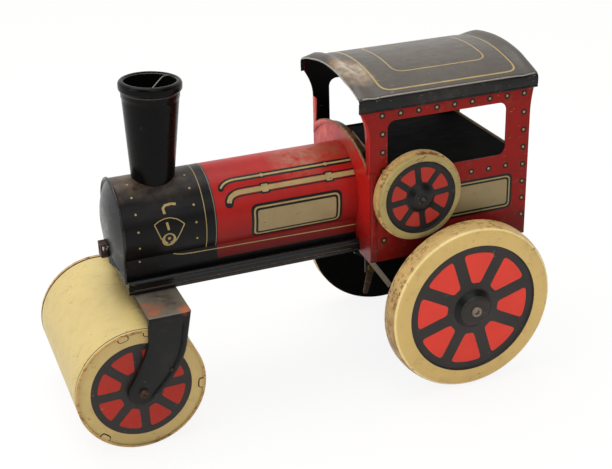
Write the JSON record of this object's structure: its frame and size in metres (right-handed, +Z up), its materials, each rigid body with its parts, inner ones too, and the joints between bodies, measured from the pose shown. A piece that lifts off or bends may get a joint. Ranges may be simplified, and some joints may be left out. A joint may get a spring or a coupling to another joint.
{
  "type": "tinplate toy road roller",
  "caption": "Lithographed tinplate toy steam roller: boiler with chimney, roofed cab, steering front roller in a bent fork, spoked-look rear wheels and a side flywheel geared to a clockwork.",
  "frame": {"origin": "on the ground below the middle of the toy's length and width", "axes": "+X forward to the roller, +Y to the left side with the flywheel, +Z up"},
  "size_m": [0.1982, 0.1026, 0.1367],
  "materials": {
    "red_litho": "gloss lithographed tinplate",
    "black_litho": "gloss lithographed tinplate",
    "cream_litho": "satin lithographed tinplate",
    "bare_steel": "tarnished tinned steel",
    "spring_steel": "blued spring steel",
    "brass": "dull brass",
    "dark_steel": "browned steel"
  },
  "bodies": {
    "engine": {"chassis": "black_litho", "boiler": "red_litho", "smokebox_front": "black_litho", "chimney": "black_litho", "pull_hook": "bare_steel", "king_bush": "bare_steel", "king_pin": "bare_steel", "cab_front": "red_litho", "cab_side_left": "red_litho", "cab_side_right": "red_litho", "cab_rear": "black_litho", "cab_floor": "black_litho", "cab_tray": "black_litho", "roof": "black_litho", "motor_plate_left": "bare_steel", "motor_plate_right": "bare_steel", "motor_pillars": "bare_steel", "mainspring": "spring_steel", "lever_rivet": "brass"},
    "fork": {"fork": "black_litho", "roller_axle": "bare_steel"},
    "roller": {"roller_drum": "cream_litho", "roller_end_left": "cream_litho", "roller_end_right": "cream_litho"},
    "rear_axle": {"rear_axle": "bare_steel", "rear_wheel_left": "cream_litho", "rear_wheel_right": "cream_litho", "rear_back_left": "black_litho", "rear_back_right": "black_litho", "rear_hub_left": "bare_steel", "rear_hub_right": "bare_steel", "axle_pinion": "brass"},
    "flywheel": {"flywheel": "cream_litho", "flywheel_back": "black_litho", "flywheel_shaft": "bare_steel", "flywheel_pinion": "brass"},
    "second_wheel": {"second_wheel": "brass", "second_arbor": "bare_steel"},
    "great_wheel": {"great_wheel": "brass"},
    "winding_key": {"winding_arbor": "bare_steel", "winding_key": "bare_steel"},
    "stop_lever": {"stop_lever": "dark_steel"}
  },
  "joints": [
    {"name": "steer", "type": "hinge", "parent": "engine", "child": "fork", "pos_m": [0.06065, 0, 0.0565], "axis": [0, 0, 1], "range_deg": [-35, 35]},
    {"name": "roller_spin", "type": "hinge", "parent": "fork", "child": "roller", "pos_m": [0.07345, 0, 0.0256], "axis": [0, 1, 0], "continuous": true},
    {"name": "rear_axle_spin", "type": "hinge", "parent": "engine", "child": "rear_axle", "pos_m": [-0.06285, 0, 0.0362], "axis": [0, 1, 0], "continuous": true},
    {"name": "flywheel_spin", "type": "hinge", "parent": "engine", "child": "flywheel", "pos_m": [-0.04435, 0, 0.0842], "axis": [0, 1, 0], "continuous": true},
    {"name": "second_wheel_spin", "type": "hinge", "parent": "engine", "child": "second_wheel", "pos_m": [-0.05014, 0, 0.05988], "axis": [0, 1, 0], "continuous": true},
    {"name": "great_wheel_spin", "type": "hinge", "parent": "engine", "child": "great_wheel", "pos_m": [-0.06642, 0, 0.07354], "axis": [0, 1, 0], "continuous": true},
    {"name": "winding", "type": "hinge", "parent": "engine", "child": "winding_key", "pos_m": [-0.06642, 0, 0.07354], "axis": [0, 1, 0], "continuous": true},
    {"name": "stop_lever_swing", "type": "hinge", "parent": "engine", "child": "stop_lever", "pos_m": [-0.03264, 0.014, 0.04638], "axis": [0, 1, 0], "range_deg": [-15, 15]}
  ],
  "couplings": [
    {"joint": "flywheel_spin", "follows": "rear_axle_spin", "ratio": 1.2727},
    {"joint": "second_wheel_spin", "follows": "rear_axle_spin", "ratio": -0.48276},
    {"joint": "great_wheel_spin", "follows": "rear_axle_spin", "ratio": 0.20115}
  ]
}
